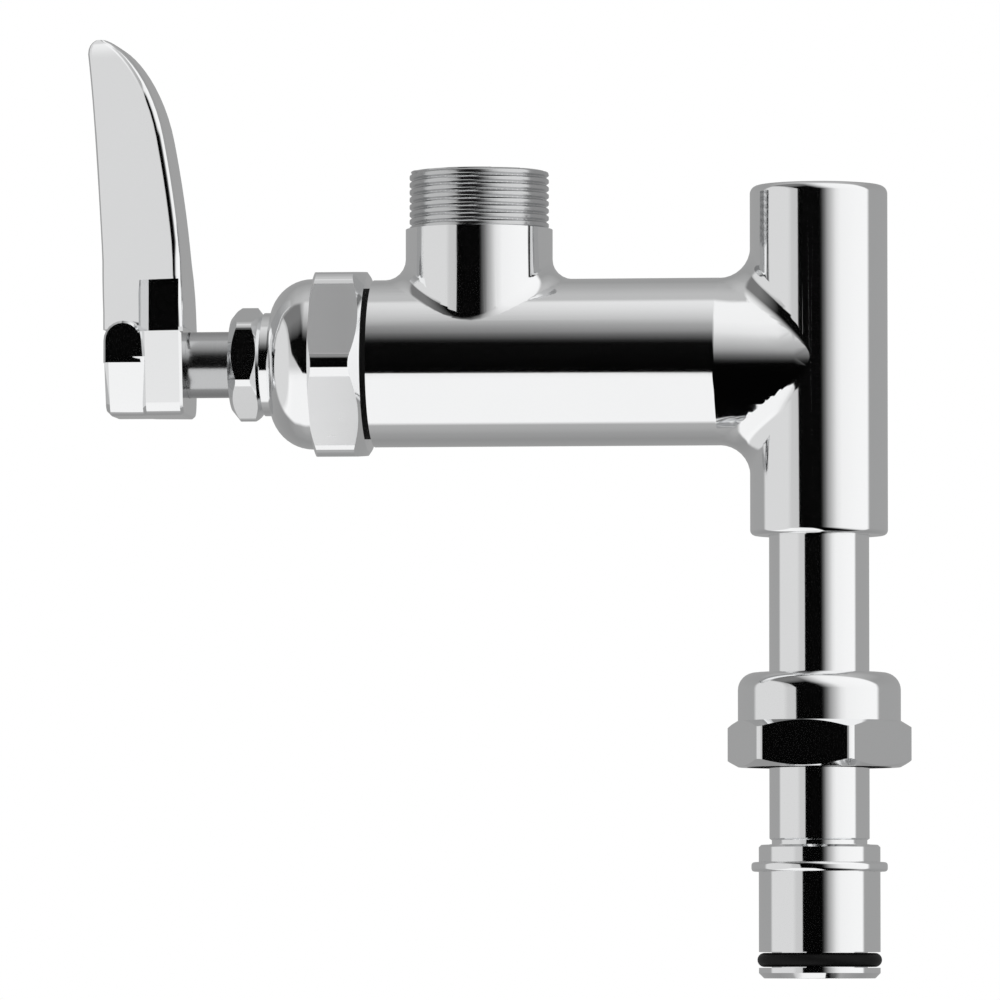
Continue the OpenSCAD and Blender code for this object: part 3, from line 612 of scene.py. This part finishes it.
def camera_axes(studio):
    """The camera's forward, right and up directions; forward runs from the object to the camera."""
    a, e = studio.azimuth, studio.elevation
    forward = Vector((math.sin(a) * math.cos(e), -math.cos(a) * math.cos(e), math.sin(e)))
    right = Vector((math.cos(a), math.sin(a), 0))
    return forward, right, right.cross(-forward)


class FAUCET_OT_studio(Operator):
    """Places the camera, the pale floor, the lamp and the surroundings that the chrome reflects"""

    bl_idname = "faucet.studio"
    bl_label = "Studio"

    def execute(self, context):
        studio = context.scene.faucet_studio
        forward, right, up = camera_axes(studio)
        self.add_camera(context, studio, forward)
        self.add_floor(context, studio)
        self.add_lamp(context, studio)
        self.add_surroundings(context, forward, right, up)
        context.scene.view_settings.view_transform = "Standard"
        return {"FINISHED"}

    def add_camera(self, context, studio, forward):
        data = bpy.data.cameras.new("camera")
        data.sensor_width = SENSOR_WIDTH
        data.lens = SENSOR_WIDTH * studio.distance / studio.picture_width
        camera = bpy.data.objects.new("camera", data)
        context.scene.collection.objects.link(camera)
        camera.location = Vector(studio.target) + forward * studio.distance
        camera.rotation_euler = (-forward).to_track_quat("-Z", "Y").to_euler()
        context.scene.camera = camera

    def add_floor(self, context, studio):
        low = cad_box[0].z - studio.floor_drop
        bpy.ops.object.select_all(action="DESELECT")
        bpy.ops.mesh.primitive_plane_add(size=FLOOR_SIZE, location=(0, 0, low))
        floor = context.object
        floor.name = "floor"
        material, recipe = new_material("pale_floor")
        glossy = recipe.node("ShaderNodeLightPath", None, out="Is Glossy Ray")
        matt = recipe.node("ShaderNodeBsdfDiffuse", None, Color=FLOOR_COLOUR)
        glow = recipe.node("ShaderNodeEmission", None, Color=(1, 1, 1, 1), Strength=FLOOR_GLOW)
        plain = recipe.node("ShaderNodeAddShader", None, matt, glow)
        clear = recipe.node("ShaderNodeBsdfTransparent")
        shown = recipe.node("ShaderNodeMixShader", None, glossy, plain, clear)
        recipe.node("ShaderNodeOutputMaterial", None, shown)
        floor.data.materials.append(material)

    def add_lamp(self, context, studio):
        data = bpy.data.lights.new("overhead", "AREA")
        data.shape = "DISK"
        data.size = LAMP_SIZE
        data.energy = studio.lamp_watts
        lamp = bpy.data.objects.new("overhead", data)
        lamp.location = LAMP_PLACE
        lamp.rotation_euler = (LAMP_AIM - LAMP_PLACE).to_track_quat("-Z", "Y").to_euler()
        lamp.visible_glossy = False
        lamp.visible_camera = False
        context.scene.collection.objects.link(lamp)

    def add_surroundings(self, context, forward, right, up):
        world = bpy.data.worlds.new("studio")
        world.use_nodes = True
        context.scene.world = world
        recipe = Recipe(world.node_tree)
        direction = recipe.node("ShaderNodeTexCoord", None, out="Generated")
        ahead = recipe.dot(direction, forward)
        rise = recipe.dot(direction, up)
        across = recipe.dot(direction, right * BAND_SIDE + up * BAND_RISE)
        along = recipe.dot(direction, up * BAND_SIDE - right * BAND_RISE)
        side = recipe.dot(direction, right)
        dark_band = recipe.screen_ramp(across, BAND_LEVELS)
        band_end = recipe.screen_ramp(along, BAND_END_LEVELS)
        left_side = recipe.screen_ramp(rise, LEFT_LEVELS)
        behind = recipe.screen_ramp(rise, BEHIND_LEVELS)
        edge = recipe.ramp(rise, [(up_at, (side_at + 1) / 2) for up_at, side_at in BAND_EDGE]) * 2 - 1
        right_of_edge = recipe.slope(side - edge, -EDGE_SOFTNESS, EDGE_SOFTNESS)
        glow = recipe.slope(side, *LEFT_GLOW)
        far_left = 1 - recipe.slope(side, *FAR_LEFT_FADE)
        left = left_side * glow * (1 - far_left) + FAR_LEFT_LEVEL * far_left
        front = left * (1 - right_of_edge) + dark_band.above(band_end) * right_of_edge
        facing = ahead - side * FRONT_TURN - rise * rise * FRONT_BOW
        share = recipe.slope(facing, *FRONT_FADE)
        reflected = behind * (1 - share) + front * share
        camera = recipe.node("ShaderNodeLightPath", None, out="Is Camera Ray")
        glossy = recipe.node("ShaderNodeLightPath", None, out="Is Glossy Ray")
        level = camera.above((1 - glossy) * PLAIN_LIGHT + glossy * reflected)
        background = recipe.node("ShaderNodeBackground", None, level, 1.0)
        recipe.node("ShaderNodeOutputWorld", None, background)


class FAUCET_PT_panel(Panel):
    """Lists the steps in the order in which they are run"""

    bl_idname = "FAUCET_PT_panel"
    bl_label = "Auxiliary Faucet"
    bl_space_type = "VIEW_3D"
    bl_region_type = "UI"
    bl_category = "Faucet"

    def draw(self, context):
        scene = context.scene
        for step in STEPS:
            self.layout.operator(step.bl_idname)
        for group in (scene.faucet_sizes, scene.faucet_finishes, scene.faucet_studio):
            for key in group.__annotations__:
                self.layout.prop(group, key)


STEPS = (FAUCET_OT_body, FAUCET_OT_outlet_thread, FAUCET_OT_bonnet, FAUCET_OT_inlet, FAUCET_OT_swivel_nut,
         FAUCET_OT_handle, FAUCET_OT_inner_works, FAUCET_OT_studio)
GROUPS = {"faucet_sizes": FaucetSizes, "faucet_finishes": FaucetFinishes, "faucet_studio": FaucetStudio}


def register():
    for made in (*GROUPS.values(), *STEPS, FAUCET_PT_panel):
        bpy.utils.register_class(made)
    for key, group in GROUPS.items():
        setattr(bpy.types.Scene, key, PointerProperty(type=group))


def unregister():
    for key in GROUPS:
        delattr(bpy.types.Scene, key)
    for made in reversed((*GROUPS.values(), *STEPS, FAUCET_PT_panel)):
        bpy.utils.unregister_class(made)


def main():
    register()
    bpy.ops.object.select_all(action="DESELECT")
    for step in STEPS:
        group, call = step.bl_idname.split(".")
        getattr(getattr(bpy.ops, group), call)()


if __name__ == "__main__":
    main()
